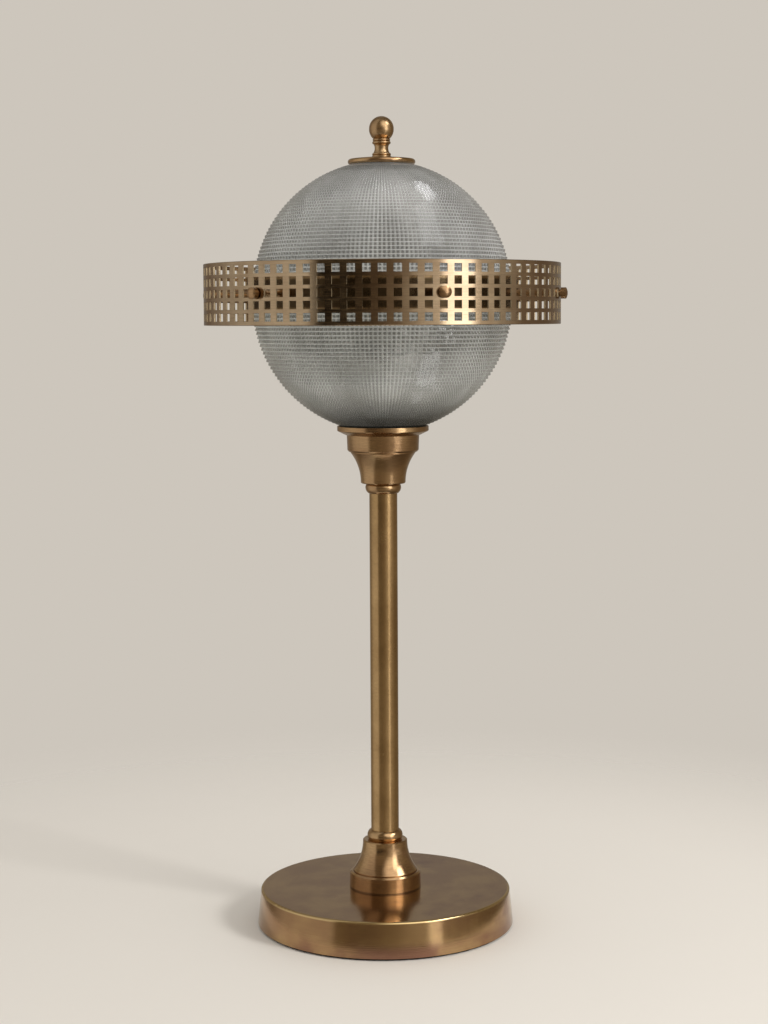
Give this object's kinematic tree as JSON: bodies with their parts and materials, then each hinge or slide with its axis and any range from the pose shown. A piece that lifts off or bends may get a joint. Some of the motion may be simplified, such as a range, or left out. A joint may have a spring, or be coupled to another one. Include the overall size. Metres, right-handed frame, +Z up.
{
  "type": "table lamp",
  "caption": "Table lamp with a globe of two ribbed glass domes inside a pierced brass ring, on a slim turned column and a weighted round base.",
  "frame": {"origin": "on the lamp's axis at the underside of the felt, where it stands", "axes": "+Z up the column, -Y the front that the picture shows, +X to the right seen from the front"},
  "size_m": [0.3276, 0.32, 0.734],
  "materials": {
    "antique_brass": "antique brushed, lacquered",
    "dark_brass": "darkened, satin",
    "plain_brass": "satin",
    "ribbed_glass": "grey prismatic, clear",
    "frosted_glass": "frosted",
    "felt": "matt",
    "iron": "rough",
    "plated_steel": "zinc plated",
    "nickel": "nickel plated",
    "rubber": "matt",
    "ceramic": "glazed",
    "black_plastic": "satin"
  },
  "bodies": {
    "stand": {"base_felt": "felt", "base_shell": "antique_brass", "base_weight": "iron", "cable_bush": "black_plastic", "base_washer": "plated_steel", "base_nut": "plated_steel", "foot_casting": "antique_brass", "foot_bead": "antique_brass", "column_tube": "antique_brass", "head_bead": "antique_brass", "head_casting": "antique_brass", "gallery_dish": "antique_brass", "dome_gasket": "rubber", "lower_dome": "ribbed_glass", "clamp_washer": "plated_steel", "clamp_nut": "plated_steel", "lower_rod": "plated_steel", "cluster_hub": "plain_brass", "upper_rod_nut": "plated_steel", "upper_rod": "plated_steel", "lower_rim_gasket": "rubber", "rim_spacer": "antique_brass", "upper_rim_gasket": "rubber", "inner_band": "dark_brass", "pierced_ring": "antique_brass", "ring_standoffs": "antique_brass", "ring_screws": "antique_brass", "nipple_left": "plated_steel", "lampholder_shell_left": "plain_brass", "lampholder_insulator_left": "ceramic", "lampholder_sleeve_left": "plain_brass", "nipple_right": "plated_steel", "lampholder_shell_right": "plain_brass", "lampholder_insulator_right": "ceramic", "lampholder_sleeve_right": "plain_brass"},
    "upper_dome": {"upper_dome": "ribbed_glass", "dome_washer": "rubber"},
    "top_disc": {"top_disc": "antique_brass"},
    "finial": {"finial": "antique_brass"},
    "bulb_left": {"bulb_cap_left": "nickel", "bulb_glass_left": "frosted_glass"},
    "bulb_right": {"bulb_cap_right": "nickel", "bulb_glass_right": "frosted_glass"}
  },
  "joints": [
    {"name": "dome_lift", "type": "slide", "parent": "stand", "child": "upper_dome", "axis": [0, 0, 1], "range_m": [0, 0.06]},
    {"name": "finial_rise", "type": "slide", "parent": "upper_dome", "child": "top_disc", "axis": [0, 0, 1], "range_m": [0, 0.006]},
    {"name": "finial_turn", "type": "hinge", "parent": "top_disc", "child": "finial", "pos_m": [0, 0, 0.7], "axis": [0, 0, 1], "range_deg": [0, 2160]},
    {"name": "bulb_left_turn", "type": "hinge", "parent": "stand", "child": "bulb_left", "pos_m": [0, 0, 0.512], "axis": [-0.7071, 0, 0.7071], "range_deg": [0, 900]},
    {"name": "bulb_right_turn", "type": "hinge", "parent": "stand", "child": "bulb_right", "pos_m": [0, 0, 0.512], "axis": [0.7071, 0, 0.7071], "range_deg": [0, 900]}
  ],
  "couplings": [
    {"joint": "finial_turn", "follows": "finial_rise", "rad_per_m": 6283.2}
  ]
}
